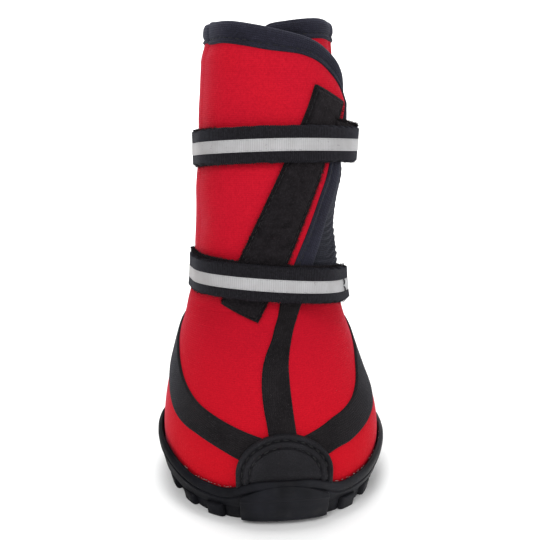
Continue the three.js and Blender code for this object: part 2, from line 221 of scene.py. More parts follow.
def section_point(angle, height):
    angle, height = np.broadcast_arrays(np.asarray(angle, float), np.asarray(height, float))
    s = LAST.at(height)
    across = np.sin(np.radians(angle))
    along = np.cos(np.radians(angle))
    depth = np.where(along > 0, s["front"], s["back"])
    power = np.where(along > 0, s["front_power"], s["back_power"])
    reach = (np.abs(across)**power + np.abs(along)**power)**(-1 / power)
    dy = -depth * along * reach
    x = s["x"] + s["half_width"] * across * reach
    return joined(x, s["y"] + dy, height - s["lean"] * dy)


def section_slopes(angle, height):
    """Change of place per degree round, and per millimetre of height."""
    angle = np.asarray(angle, float)
    height = np.asarray(height, float)
    around = (section_point(angle + 0.2, height) - section_point(angle - 0.2, height)) / 0.4
    up = (section_point(angle, height + 0.2) - section_point(angle, height - 0.2)) / 0.4
    return around, up


def section_normal(angle, height):
    around, up = section_slopes(angle, height)
    normal = np.cross(around, up)
    return normal / np.linalg.norm(normal, axis=-1, keepdims=True)


def last_point(angle, height, offset=0.0, fraction=1.0):
    angle, height, offset = np.broadcast_arrays(
        np.asarray(angle, float), np.asarray(height, float), np.asarray(offset, float))
    point = section_point(angle, height) + offset[..., None] * section_normal(angle, height)
    middle = LAST.at(height)
    point[..., 0] = mix(middle["x"], point[..., 0], fraction)
    point[..., 1] = mix(middle["y"], point[..., 1], fraction)
    point[..., 2] += lift(point[..., 1], height)
    return point


def turned(angle):
    """An angle brought to -180 .. 180."""
    return (np.asarray(angle, float) + 180) % 360 - 180


def crease(angle, height):
    """How far the neoprene stands off the last through folds and the straps' grip."""
    angle = turned(angle)
    radius = LAST.at(height)["half_width"]
    total = np.zeros(np.broadcast(angle, height).shape)
    for middle, level, length, width, depth, slant in CREASES:
        across = np.radians(turned(angle - middle)) * radius
        rise = height - level
        slant = math.radians(slant)
        along = across * math.cos(slant) + rise * math.sin(slant)
        aside = rise * math.cos(slant) - across * math.sin(slant)
        total = total + depth * np.exp(-(along / length)**2 - (aside / width)**2)
    for strap in (UPPER_STRAP, LOWER_STRAP):
        away = height - strap_middle(strap, angle)
        total = total - STRAP_GRIP * bell(away, 0, GRIP_REACH)
        total = total + GRIP_SWELL * bell(np.abs(away), SWELL_MIDDLE, GRIP_REACH)
    return total


def strap_middle(strap, turn):
    around = np.radians(turn)
    return strap["centre"] - strap["slope"] * np.sin(around) + strap["bow"] * np.cos(2 * around)


def flap_growth(angle, height):
    return (smooth_step(angle, FLAP_LEFT, FLAP_LEFT + 42)
            * smooth_step(height, FLAP_BOTTOM, 85))


def flap_bulge(angle, height):
    """The flap stands further off where it hangs free: at the collar and the upper right."""
    corner = smooth_step(angle, 45, 75) * smooth_step(height, 120, 140)
    rim = smooth_step(angle, -60, -20) * smooth_step(height, 152, 172)
    edge = smooth_step(angle, 34, 56) * smooth_step(height, 98, 110) * fall(height, 116, 126)
    return 1.7 * corner + 0.6 * rim + 0.7 * edge


def bound_edge_pinch(angle, height):
    """The flap thins into its binding along the collar and down the free edge."""
    below_top = FLAP_TOP.at(angle)["height"] - height
    to_edge = np.radians(FLAP_EDGE.at(height)["angle"] - angle) * 30
    top = fall(below_top, 4.5, 13)
    side = fall(to_edge, 3, 11) * smooth_step(height, 72, 84) * smooth_step(angle, 0, 20)
    return np.maximum(1.7 * top, 0.9 * side)


def flap_outer(angle, height):
    grown = flap_growth(angle, height)
    tucked = -0.3 * fall(height, FLAP_BOTTOM, FLAP_BOTTOM + 2.5)
    tucked = tucked - 0.3 * fall(angle, FLAP_LEFT, FLAP_LEFT + 5)
    full = (FLAP_CLEARANCE + FLAP_THICKNESS) * grown + flap_bulge(angle, height) * grown
    return 0.03 + tucked + full - bound_edge_pinch(angle, height)


def flap_inner(angle, height):
    grown = flap_growth(angle, height)
    buried = -0.9 - bound_edge_pinch(angle, height)
    return mix(buried, FLAP_CLEARANCE, grown) + flap_bulge(angle, height) * grown


def on_front(angle, height):
    """The outermost neoprene on the front: the flap, or the vamp below it."""
    beyond = np.asarray(height, float) < FLAP_BOTTOM
    cover = np.where(beyond, 0.0, flap_outer(angle, height))
    return crease(angle, height) + cover


# ------------------------------------------------------------------------- mesh makers

def put_in_scene(name, data):
    thing = bpy.data.objects.new(name, data)
    bpy.context.scene.collection.objects.link(thing)
    return thing


def new_object(name, vertices, quads, materials, uv=None, polygons=None, slots=None):
    """A smooth mesh object from millimetre points. uv is per vertex, in millimetres."""
    mesh = bpy.data.meshes.new(name)
    vertices = np.asarray(vertices, float).reshape(-1, 3) * MM
    quads = np.asarray(quads, int)
    loose = polygons or []
    counts = [4] * len(quads) + [len(face) for face in loose]
    corners = np.concatenate([quads.ravel()] + [np.asarray(face, int) for face in loose])
    mesh.vertices.add(len(vertices))
    mesh.vertices.foreach_set("co", vertices.ravel())
    mesh.loops.add(len(corners))
    mesh.loops.foreach_set("vertex_index", corners.astype(np.int32))
    mesh.polygons.add(len(counts))
    starts = np.concatenate([[0], np.cumsum(counts)[:-1]])
    mesh.polygons.foreach_set("loop_start", starts.astype(np.int32))
    mesh.polygons.foreach_set("loop_total", np.asarray(counts, np.int32))
    mesh.polygons.foreach_set("use_smooth", np.ones(len(counts), bool))
    if slots is not None:
        full = np.concatenate([slots, np.zeros(len(counts) - len(slots), int)])
        mesh.polygons.foreach_set("material_index", full.astype(np.int32))
    if uv is not None:
        layer = mesh.uv_layers.new(name="cloth")
        flat = np.asarray(uv, float).reshape(-1, 2)[corners]
        layer.data.foreach_set("uv", flat.ravel())
    mesh.update(calc_edges=True)
    mesh.validate()
    for material in materials if isinstance(materials, list) else [materials]:
        mesh.materials.append(material)
    return put_in_scene(name, mesh)


def grid_quads(rows, columns, wrap_rows=False, wrap_columns=False):
    """Quads over a grid of vertices, wound so that rows x columns faces out."""
    r = np.arange(rows if wrap_rows else rows - 1)
    c = np.arange(columns if wrap_columns else columns - 1)
    r, c = np.meshgrid(r, c, indexing="ij")
    next_r = (r + 1) % rows
    next_c = (c + 1) % columns
    quads = joined(r * columns + c, r * columns + next_c,
                   next_r * columns + next_c, next_r * columns + c)
    return quads.reshape(-1, 4)


def closed_sheet(front, back):
    """Points, and the quads of the front, back and rim, of a sheet between two grids."""
    rows, columns = front.shape[:2]
    size = rows * columns
    face = grid_quads(rows, columns)
    border = np.concatenate([
        np.arange(columns), columns * np.arange(1, rows) + columns - 1,
        (rows - 1) * columns + np.arange(columns - 2, -1, -1),
        columns * np.arange(rows - 2, 0, -1)])
    following = np.roll(border, -1)
    rim = joined(following, border, border + size, following + size)
    points = np.concatenate([front.reshape(-1, 3), back.reshape(-1, 3)])
    return points, [face, face[:, ::-1] + size, rim]


def end_caps(stations, sides, first=0):
    """The two end faces of a tube of rings whose vertices begin at first, facing out."""
    start = [first + side for side in range(sides)]
    end = [first + (stations - 1) * sides + side for side in range(sides)]
    return [start[::-1], end]


def many_tubes(name, tubes, material, flip=False):
    """Small capped tubes as one mesh. tubes is count x stations x sides x 3."""
    count, stations, sides = tubes.shape[:3]
    firsts = [index * stations * sides for index in range(count)]
    quads = grid_quads(stations, sides, wrap_columns=True)
    caps = [cap for first in firsts for cap in end_caps(stations, sides, first)]
    if flip:
        quads = quads[:, ::-1]
        caps = [cap[::-1] for cap in caps]
    quads = (np.array(firsts)[:, None, None] + quads).reshape(-1, 4)
    return new_object(name, tubes, quads, material, polygons=caps)


def sweep(name, rings, materials, closed=False, uv=None, flip=False):
    """A body through rings of points (stations x ring x 3), capped unless it closes."""
    stations, count = rings.shape[:2]
    quads = grid_quads(stations, count, wrap_rows=closed, wrap_columns=True)
    caps = [] if closed else end_caps(stations, count)
    if flip:
        quads = quads[:, ::-1]
        caps = [cap[::-1] for cap in caps]
    return new_object(name, rings, quads, materials, uv=uv, polygons=caps)


def finish_piece(piece, replaced=()):
    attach(piece, "root")
    if replaced:
        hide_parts(*replaced)


def arc_lengths(points):
    steps = np.linalg.norm(np.diff(points, axis=0), axis=-1)
    return np.concatenate([[0], np.cumsum(steps)])


def ribbon(name, low, high, base, thickness, material, across=12, rim=0.7, under=-0.15):
    """A flat tape between two edge lines, each stations x (angle, height).

    base(angle, height) is the surface that it lies on. Its edges are rounded over rim.
    """
    low = np.asarray(low, float)
    high = np.asarray(high, float)
    width = np.linalg.norm(last_point(*low.T) - last_point(*high.T), axis=-1)
    share = (1 - np.cos(np.linspace(0, math.pi, across + 1))) / 2
    share = mix(share, np.linspace(0, 1, across + 1), 0.5)
    angle = mix(low[:, None, 0], high[:, None, 0], share[None])
    height = mix(low[:, None, 1], high[:, None, 1], share[None])
    from_edge = np.minimum(share, 1 - share)[None] * width[:, None]
    rounded = quarter_round(from_edge / rim)
    floor = base(angle, height)
    top = last_point(angle, height, floor + thickness * (0.25 + 0.75 * rounded))
    bottom = last_point(angle, height, floor + under)
    rings = np.concatenate([top, bottom[:, ::-1]], axis=1)
    along = arc_lengths(top[:, across // 2])[:, None]
    v_top = share[None] * width[:, None]
    v = np.concatenate([v_top, v_top[:, ::-1]], axis=1)
    return sweep(name, rings, material, uv=joined(along, v), flip=True)


def beside(line, distance):
    """The points a distance in millimetres to the left of a line of (angle, height)."""
    line = np.asarray(line, float)
    around, up = section_slopes(line[:, 0], line[:, 1])
    per_degree = np.linalg.norm(around, axis=-1)
    per_height = np.linalg.norm(up, axis=-1)
    ahead = np.gradient(line, axis=0) * joined(per_degree, per_height)
    ahead /= np.linalg.norm(ahead, axis=-1, keepdims=True)
    return joined(line[:, 0] - distance * ahead[:, 1] / per_degree,
                  line[:, 1] + distance * ahead[:, 0] / per_height)


def read_along(line, lengths, places):
    """The points at some places along a line whose own points are at the lengths."""
    return joined(*[np.interp(places, lengths, column) for column in line.T])


def smoothed(line, times):
    for _ in range(times):
        line[1:-1] = 0.25 * line[:-2] + 0.5 * line[1:-1] + 0.25 * line[2:]
    return line


def even_line(points, spacing):
    """Points respaced evenly along a line of (angle, height), and lightly smoothed."""
    points = np.asarray(points, float)
    lengths = arc_lengths(last_point(points[:, 0], points[:, 1]))
    count = max(int(lengths[-1] / spacing), 2) + 1
    places = np.linspace(0, lengths[-1], count)
    return smoothed(read_along(points, lengths, places), 6)


def dashes(name, points, normals, material, length, gap, radius):
    """Stitches along a line of millimetre points: short rounded threads as one mesh."""
    lengths = arc_lengths(points)
    share = np.linspace(0, 1, 7)
    swell = radius * np.sqrt(np.clip(1 - (2 * share - 1)**4, 0.02, 1))[:, None, None]
    arch = (np.sin(share * math.pi) * radius * 0.9)[:, None]
    turns = np.linspace(0, 2 * math.pi, 7)[None, :-1, None]
    tubes = []
    for start in np.arange(gap / 2, lengths[-1] - length, length + gap):
        places = start + share * length
        centre = read_along(points, lengths, places)
        out = read_along(normals, lengths, places)
        side = np.cross(out, np.gradient(centre, axis=0))
        side /= np.linalg.norm(side, axis=-1, keepdims=True)
        around = np.cos(turns) * side[:, None] + np.sin(turns) * out[:, None] * 0.7
        tubes.append((centre + out * arch)[:, None] + swell * around)
    return many_tubes(name, np.array(tubes), material, flip=True)


def fibres(name, roots, directions, lengths, radius, material, curl=0.35):
    """Many short tapering hairs as one mesh, each a bent three-sided spike."""
    count = len(roots)
    noise = rng.normal(size=(count, 3))
    bend = noise - (noise * directions).sum(1, keepdims=True) * directions
    helper = np.cross(directions, noise)
    helper /= np.linalg.norm(helper, axis=1, keepdims=True)
    other = np.cross(directions, helper)
    rings = []
    for share, width in ((0.0, 1.0), (0.5, 0.8), (1.0, 0.25)):
        centre = roots + directions * (lengths * share)[:, None] + bend * (
            curl * lengths * share**2)[:, None]
        for turn in (0, 2 * math.pi / 3, 4 * math.pi / 3):
            around = helper * math.cos(turn) + other * math.sin(turn)
            rings.append(centre + around * radius * width)
    tubes = np.stack(rings, axis=1).reshape(count, 3, 3, 3)
    return many_tubes(name, tubes, material)


# --------------------------------------------------------------------------- materials

class Shader:
    """A Principled material with small helpers for its nodes."""

    def __init__(self, name, **constants):
        self.material = bpy.data.materials.new(name)
        self.material.use_nodes = True
        self.tree = self.material.node_tree
        self.shader = self.tree.nodes["Principled BSDF"]
        for socket, value in constants.items():
            self.shader.inputs[socket.replace("_", " ")].default_value = value
        self.place = self.add("ShaderNodeTexCoord").outputs["Object"]

    def add(self, kind, **settings):
        node = self.tree.nodes.new(kind)
        for key, value in settings.items():
            setattr(node, key, value)
        return node

    def link(self, source, target):
        self.tree.links.new(source, target)

    def cloth(self):
        return self.add("ShaderNodeUVMap", uv_map="cloth").outputs["UV"]

    def split(self, source):
        node = self.add("ShaderNodeSeparateXYZ")
        self.link(source, node.inputs[0])
        return node.outputs["X"], node.outputs["Y"], node.outputs["Z"]

    def noise(self, size, detail=2.0, rough=0.5):
        """Noise whose features are about size across, in metres."""
        node = self.add("ShaderNodeTexNoise")
        node.inputs["Scale"].default_value = 1 / size
        node.inputs["Detail"].default_value = detail
        node.inputs["Roughness"].default_value = rough
        self.link(self.place, node.inputs["Vector"])
        return node.outputs["Fac"]

    def wave(self, source, pitch, direction="X", distortion=0.0, detail_scale=1.0):
        node = self.add("ShaderNodeTexWave", bands_direction=direction, wave_profile="SIN")
        node.inputs["Scale"].default_value = math.pi / 10 / pitch
        node.inputs["Distortion"].default_value = distortion
        node.inputs["Detail"].default_value = 1.0
        node.inputs["Detail Scale"].default_value = detail_scale
        self.link(source, node.inputs["Vector"])
        return node.outputs["Fac"]

    def math(self, operation, a, b=None, c=None):
        node = self.add("ShaderNodeMath", operation=operation)
        for socket, value in zip(node.inputs, (a, b, c)):
            if value is None:
                continue
            if isinstance(value, (int, float)):
                socket.default_value = value
            else:
                self.link(value, socket)
        return node.outputs[0]

    def fit(self, value, low, high, to_low, to_high):
        node = self.add("ShaderNodeMapRange")
        for socket, number in zip(("From Min", "From Max", "To Min", "To Max"),
                                  (low, high, to_low, to_high)):
            node.inputs[socket].default_value = number
        self.link(value, node.inputs["Value"])
        return node.outputs["Result"]

    def blend(self, factor, first, second):
        node = self.add("ShaderNodeMix", data_type="RGBA")
        self.link(factor, node.inputs["Factor"])
        for index, colour in ((6, first), (7, second)):
            if isinstance(colour, tuple):
                node.inputs[index].default_value = (*colour, 1)
            else:
                self.link(colour, node.inputs[index])
        return node.outputs[2]

    def mottle(self, noise, first, second):
        """Two colours mixed by a noise."""
        return self.blend(self.fit(noise, 0.3, 0.7, 0, 1), first, second)

    def colour(self, value):
        self.link(value, self.shader.inputs["Base Color"])

    def roughness(self, value):
        self.link(value, self.shader.inputs["Roughness"])

    def bump(self, height, depth, strength=1.0):
        node = self.add("ShaderNodeBump")
        node.inputs["Strength"].default_value = strength
        node.inputs["Distance"].default_value = depth
        self.link(height, node.inputs["Height"])
        previous = self.shader.inputs["Normal"]
        if previous.links:
            self.link(previous.links[0].from_socket, node.inputs["Normal"])
        self.link(node.outputs["Normal"], previous)


def knit_height(shader, source, pitch_u, pitch_v):
    """A plain jersey's little V stitches over a millimetre map, from 0 to 1."""
    u, v, _ = shader.split(source)
    column = shader.math("MULTIPLY", u, 2 * math.pi / pitch_u)
    ribs = shader.math("ABSOLUTE", shader.math("SINE", shader.math("MULTIPLY", column, 0.5)))
    shift = shader.math("MULTIPLY", ribs, 2.2)
    row = shader.math("ADD", shader.math("MULTIPLY", v, 2 * math.pi / pitch_v), shift)
    wales = shader.math("MULTIPLY_ADD", shader.math("SINE", row), 0.5, 0.5)
    return shader.math("MULTIPLY", wales, shader.math("MULTIPLY_ADD", ribs, 0.7, 0.3))


def neoprene_material():
    s = Shader("neoprene_red", Roughness=0.85, Sheen_Weight=0.12, Sheen_Roughness=0.24,
               Specular_IOR_Level=0.07, Sheen_Tint=(1.0, 0.45, 0.72, 1))
    _, _, z = s.split(s.place)
    cloud = s.noise(0.028, detail=3)
    grain = s.noise(0.0007, detail=2, rough=0.6)
    knit = knit_height(s, s.cloth(), 0.85, 0.7)
    base = s.mottle(cloud, (0.520, 0.0060, 0.024), (0.560, 0.0070, 0.020))
    # painted shade: the red darkens towards the lower part of the boot, below about 115 mm
    base = s.blend(s.fit(z, 0.075, 0.115, 0.8, 0), base, (0.475, 0.0040, 0.0160))
    deep = s.blend(s.fit(grain, 0.32, 0.62, 0.7, 0.0), base, (0.400, 0.0040, 0.0160))
    stitch = s.blend(s.fit(knit, 0.0, 0.5, 0.30, 0.0), deep, (0.330, 0.0035, 0.0130))
    # painted highlight: the red turns brighter and warmer near the foot of the upper, below about 65
    # mm
    painted_low_highlight = s.blend(s.fit(z, 0.02, 0.065, 0.4, 0.0), stitch, (0.600, 0.0040, 0.0080))
    s.colour(painted_low_highlight)
    s.roughness(s.fit(grain, 0.3, 0.7, 0.92, 0.74))
    s.bump(knit, 0.00012, 0.55)
    s.bump(grain, 0.00025, 0.5)
    return s.material


def lining_material():
    s = Shader("lining_jersey", Roughness=0.9, Sheen_Weight=0.1, Specular_IOR_Level=0.1)
    knit = knit_height(s, s.cloth(), 1.0, 0.85)
    grain = s.noise(0.0008)
    tone = s.mottle(grain, (0.020, 0.020, 0.023), (0.034, 0.034, 0.038))
    s.colour(s.blend(s.fit(knit, 0, 0.6, 0.5, 0), tone, (0.010, 0.010, 0.012)))
    s.bump(knit, 0.00018, 0.7)
    return s.material


def knit_black(name, low, high, pitch=0.9, sheen=0.12):
    s = Shader(name, Roughness=0.85, Sheen_Weight=sheen, Sheen_Roughness=0.4,
               Specular_IOR_Level=0.12, Sheen_Tint=(0.62, 0.66, 0.85, 1))
    knit = knit_height(s, s.cloth(), pitch, pitch * 0.8)
    grain = s.noise(0.0009, detail=3, rough=0.6)
    cloud = s.noise(0.012)
    tone = s.mottle(cloud, low, high)
    dark = tuple(0.4 * c for c in low)
    tone = s.blend(s.fit(knit, 0, 0.55, 0.55, 0), tone, dark)
    s.colour(s.blend(s.fit(grain, 0.45, 0.8, 0, 0.4), tone, tuple(1.9 * c for c in high)))
    s.bump(knit, 0.00018, 0.7)
    s.bump(grain, 0.00022, 0.5)
    return s.material


def webbing_material():
    s = Shader("webbing_black", Roughness=0.78, Sheen_Weight=0.04, Specular_IOR_Level=0.1,
               Sheen_Tint=(0.6, 0.65, 0.9, 1))
    cloth = s.cloth()
    _, v, _ = s.split(cloth)
    rib = s.wave(cloth, 0.75, "X", distortion=0.5, detail_scale=0.6)
    row = s.math("SINE", s.math("MULTIPLY", v, 2 * math.pi / 0.55))
    row = s.math("MULTIPLY_ADD", row, 0.5, 0.5)
    weave = s.math("MULTIPLY", rib, s.math("MULTIPLY_ADD", row, 0.35, 0.65))
    grain = s.noise(0.0008, detail=3)
    x, _, _ = s.split(s.place)
    tone = s.mottle(grain, (0.0056, 0.0050, 0.0062), (0.0160, 0.0146, 0.0186))
    # painted sheen: the webbing turns bluish towards both ends, where it bends away round the sides
    tone = s.blend(s.fit(s.math("ABSOLUTE", x), 0.028, 0.042, 0, 0.8), tone, (0.0110, 0.0095, 0.0215))
    s.colour(s.blend(s.fit(weave, 0, 0.5, 0.6, 0), tone, (0.005, 0.005, 0.006)))
    s.bump(weave, 0.00022, 0.8)
    s.bump(grain, 0.0002, 0.4)
    return s.material


def reflective_material():
    s = Shader("reflective_silver", Roughness=0.48, Metallic=0.0, Specular_IOR_Level=0.5)
    cloth = s.cloth()
    rib = s.wave(cloth, 0.8, "X", distortion=0.6, detail_scale=0.8)
    grid = s.wave(cloth, 0.45, "Y", distortion=0.4)
    patch = s.noise(0.006, detail=3)
    speck = s.noise(0.0011, detail=1)
    tone = s.mottle(patch, (0.375, 0.37, 0.375), (0.47, 0.47, 0.48))
    x, _, _ = s.split(s.place)
    # painted shade: the tape darkens towards its left end
    tone = s.blend(s.fit(x, -0.030, -0.019, 0.55, 0), tone, (0.235, 0.205, 0.20))
    # painted highlight: the tape turns lighter towards its right end
    tone = s.blend(s.fit(x, 0.028, 0.042, 0, 1), tone, (0.54, 0.54, 0.555))
    tone = s.blend(s.fit(rib, 0.0, 0.6, 0.42, 0), tone, (0.25, 0.245, 0.25))
    tone = s.blend(s.fit(grid, 0.0, 0.35, 0.25, 0), tone, (0.23, 0.225, 0.23))
    s.colour(s.blend(s.fit(speck, 0.70, 0.76, 0, 0.55), tone, (0.12, 0.11, 0.12)))
    s.bump(rib, 0.00008, 0.6)
    s.bump(patch, 0.0004, 0.35)
    return s.material


def pile_material():
    s = Shader("loop_pile_black", Roughness=1.0, Sheen_Weight=0.08, Sheen_Roughness=0.5,
               Specular_IOR_Level=0.05, Sheen_Tint=(0.7, 0.62, 0.66, 1))
    fuzz = s.noise(0.0006, detail=4, rough=0.7)
    clump = s.noise(0.0028, detail=4, rough=0.65)
    tone = s.mottle(clump, (0.0046, 0.0040, 0.0046), (0.0148, 0.0128, 0.0146))
    # painted highlights: the lightest flecks of the pile, where the fine noise is high
    s.colour(s.blend(s.fit(fuzz, 0.5, 0.72, 0, 0.75), tone, (0.030, 0.026, 0.030)))
    s.bump(fuzz, 0.0006, 0.9)
    s.bump(clump, 0.0008, 0.4)
    return s.material


def leather_material():
    s = Shader("cap_leather_black", Roughness=0.6, Specular_IOR_Level=0.15)
    cells = s.add("ShaderNodeTexVoronoi", feature="DISTANCE_TO_EDGE")
    cells.inputs["Scale"].default_value = 1400
    s.link(s.place, cells.inputs["Vector"])
    grain = s.noise(0.0006, detail=3)
    cloud = s.noise(0.009, detail=2)
    tone = s.mottle(cloud, (0.0062, 0.0058, 0.0078), (0.0148, 0.0142, 0.0178))
    edge = s.fit(cells.outputs["Distance"], 0.0, 0.18, 0.6, 0)
    s.colour(s.blend(edge, tone, (0.0035, 0.0035, 0.004)))
    s.roughness(s.fit(grain, 0.3, 0.7, 0.72, 0.54))
    s.bump(s.fit(cells.outputs["Distance"], 0.0, 0.25, 0, 1), 0.00014, 0.6)
    s.bump(grain, 0.0002, 0.4)
    return s.material


def rubber_material():
    s = Shader("sole_rubber_black", Roughness=0.6)
    fine = s.noise(0.0005, detail=3, rough=0.6)
    cloud = s.noise(0.011, detail=3)
    dust = s.noise(0.004, detail=5, rough=0.65)
    tone = s.mottle(cloud, (0.0048, 0.0050, 0.0066), (0.0142, 0.0146, 0.0190))
    x, _, z = s.split(s.place)
    low = s.fit(z, 0.0, 0.008, 0.35, 0.08)
    dusty = s.math("MULTIPLY", s.fit(dust, 0.5, 0.72, 0, 1), low)
    s.link(s.fit(x, -0.040, 0.035, 0.02, 0.18), s.shader.inputs["Specular IOR Level"])
    # painted shade: the rubber darkens towards the left side of the boot
    tone = s.blend(s.fit(x, -0.040, 0.010, 0.55, 0), tone, (0.0030, 0.0030, 0.0040))
    s.colour(s.blend(dusty, tone, (0.050, 0.047, 0.045)))
    s.roughness(s.fit(cloud, 0.3, 0.7, 0.5, 0.68))
    s.bump(fine, 0.00016, 0.5)
    s.bump(cloud, 0.0008, 0.25)
    return s.material


def thread_material(name, colour):
    s = Shader(name, Roughness=0.6, Specular_IOR_Level=0.4)
    twist = s.noise(0.0003, detail=1)
    s.colour(s.mottle(twist, colour, tuple(2.2 * c for c in colour)))
    s.bump(twist, 0.0001, 0.5)
    return s.material


def glue_material():
    s = Shader("dried_glue", Roughness=0.4, Specular_IOR_Level=0.5)
    tint = s.noise(0.0006)
    s.colour(s.mottle(tint, (0.16, 0.14, 0.135), (0.34, 0.31, 0.30)))
    return s.material


def felt_material():
    s = Shader("insole_felt", Roughness=1.0, Sheen_Weight=0.3, Specular_IOR_Level=0.15)
    fuzz = s.noise(0.0009, detail=4, rough=0.7)
    s.colour(s.mottle(fuzz, (0.020, 0.020, 0.023), (0.050, 0.050, 0.055)))
    s.bump(fuzz, 0.0006, 0.8)
    return s.material


NEOPRENE = neoprene_material()
LINING = lining_material()
BINDING = knit_black("binding_knit_black", (0.0120, 0.0118, 0.0190), (0.0200, 0.0196, 0.0325))
BAND = knit_black("band_knit_black", (0.0058, 0.0047, 0.0055), (0.0136, 0.0115, 0.0127), pitch=1.0,
                  sheen=0.06)
GUSSET = knit_black("gusset_stretch_black", (0.0170, 0.0174, 0.0232), (0.0265, 0.0271, 0.0362))
WEBBING = webbing_material()
SILVER = reflective_material()
PILE = pile_material()
LEATHER = leather_material()
RUBBER = rubber_material()
THREAD = thread_material("thread_black", (0.003, 0.003, 0.0035))
SILVER_THREAD = thread_material("thread_grey", (0.20, 0.20, 0.21))
GLUE = glue_material()
FELT = felt_material()


def stitch_row(name, line, offset, length, gap, radius, thread=THREAD):
    """Stitches along a line of (angle, height), at an offset out of the last."""
    points = last_point(*line.T, offset)
    row = dashes(name, points, section_normal(*line.T), thread, length, gap, radius)
    finish_piece(row)


# ------------------------------------------------------------------------------- upper

SIDES = 288
CUP_INSIDE = 0.35       # the cup's inner face out of the last, and the wall's foot above its floor


def wall_points(heights, offset):
    """Points round a closed wall. heights is rows x sides."""
    angle = ring_angles(SIDES)
    return last_point(angle, heights, offset(angle, heights))


def ring_angles(count):
    return np.linspace(-180, 180, count, endpoint=False)


def shell_offset(angle, height):
    """The wall's outer face: creased, and sunk where the flap takes its place."""
    edge = FLAP_EDGE.at(height)["angle"]
    under = (smooth_step(angle, FLAP_LEFT + 3, FLAP_LEFT + 14)
             * fall(angle, edge - 16, edge - 5)
             * smooth_step(height, FLAP_BOTTOM + 2, FLAP_BOTTOM + 8))
    rim = fall(COLLAR.at(turned(angle))["height"] - height, 4, 12)
    open_side = smooth_step(turned(angle), 20, 60) * fall(turned(angle), 130, 170)
    pinch = mix(RIM_PINCH, OPEN_SIDE_PINCH, open_side)
    return crease(angle, height) - FLAP_RECESS * under - pinch * rim


def shell_inner(angle, height):
    rim = fall(COLLAR.at(turned(angle))["height"] - height, 4, 12)
    return 0.7 * crease(angle, height) - WALL + 0.4 * rim


def make_shell():
    rows = 130
    collar = COLLAR.at(ring_angles(SIDES))["height"]
    share = np.linspace(0, 1, rows)[:, None]
    heights = mix(CUP_FLOOR + CUP_INSIDE, collar, share)
    rings = np.concatenate([wall_points(heights, shell_offset),
                            wall_points(heights, shell_inner)[::-1]])
    quads = grid_quads(2 * rows, SIDES, wrap_rows=True, wrap_columns=True)
    uv = joined(np.radians(ring_angles(SIDES)) * CLOTH_RADIUS,
                np.concatenate([heights, heights[::-1]]))
    slots = np.repeat(np.where(np.arange(2 * rows) < rows - 1, 0, 1), SIDES)
    shell = new_object("upper_shell", rings, quads, [NEOPRENE, LINING], uv=uv, slots=slots)
    finish_piece(shell, ["upper"])


def make_flap():
    across, along = 170, 130
    u = np.linspace(0, 0.985, across)[None]
    v = np.linspace(0, 0.985, along)[:, None]
    corner_height, corner_angle = FLAP_EDGE.rows[-1]
    edge = FLAP_EDGE.at(mix(FLAP_BOTTOM, corner_height, v))["angle"]
    top = FLAP_TOP.at(mix(FLAP_LEFT, corner_angle, u))["height"]
    angle = mix(FLAP_LEFT, edge, u)
    height = mix(FLAP_BOTTOM, top, v)
    seat = crease(angle, height)
    points, quads = closed_sheet(last_point(angle, height, seat + flap_outer(angle, height)),
                                 last_point(angle, height, seat + flap_inner(angle, height)))
    uv = joined(np.radians(angle) * CLOTH_RADIUS, height)
    slots = np.repeat([0, 1, 0], [len(part) for part in quads])
    flap = new_object("outer_flap", points, np.concatenate(quads), [NEOPRENE, LINING],
                      uv=np.concatenate([uv, uv]), slots=slots)
    finish_piece(flap, ["upper"])


FOLD_RISE = 1.2
GROOVE_SHARE = 0.73
BINDING_PROFILE = [  # share of the width, which face, how far off that face
    (1.0, "outer", -0.05), (0.985, "outer", 0.42), (0.93, "outer", 0.7), (0.85, "outer", 0.72),
    (0.78, "outer", 0.5), (0.73, "outer", 0.28), (0.68, "outer", 0.42), (0.6, "outer", 0.74),
    (0.48, "outer", 0.95), (0.32, "outer", 1.0), (0.16, "outer", 0.86), (0.03, "outer", 0.45),
    (-0.05, "outer", -0.15), (-0.08, "middle", 0.0), (-0.05, "inner", 0.15),
    (0.03, "inner", -0.4), (0.16, "inner", -0.75), (0.4, "inner", -0.85), (0.7, "inner", -0.75),
    (0.93, "inner", -0.6), (1.0, "inner", 0.05),
]


def binding_rings(line, inner, outer, width):
    """Rings of a folded binding round an edge. The cloth is on the right of the line."""
    columns, across = [], []
    for share, face, rise in BINDING_PROFILE:
        place = beside(line, -share * width)
        low = inner(*place.T)
        high = outer(*place.T)
        offset = {"outer": high, "inner": low, "middle": (low + high) / 2}[face] + rise
        columns.append(last_point(*place.T, offset))
        across.append((share if face == "outer" else -share) * width)
    rings = np.stack(columns, axis=1)
    along = arc_lengths(rings[:, 4])[:, None]
    return rings, joined(along, np.stack(across, axis=1))


def raise_fold(rings, line, middle, reach):
    """Lifts a binding's fold round one angle, and leaves its stitched edges in place."""
    share = np.array([row[0] for row in BINDING_PROFILE])
    rings[..., 2] += FOLD_RISE * bell(line[:, :1], middle, reach) * fall(share, 0.0, 0.45)


def seam_in_groove(name, line, outer, width):
    """The thread that lies in a binding's stitched groove."""
    place = beside(line, -GROOVE_SHARE * width)
    stitch_row(name, place, outer(*place.T) + 0.3, 1.9, 0.9, 0.15)


def flap_border():
    """The flap's bound edge: along the collar, round the corner and down the front."""
    top = np.linspace(-104, 86, 140)
    down = np.linspace(145.6, 75, 90)
    path = np.concatenate([
        joined(top, FLAP_TOP.at(top)["height"]),
        joined(FLAP_EDGE.at(down)["angle"], down)])
    return smoothed(even_line(path, 0.8), 30)


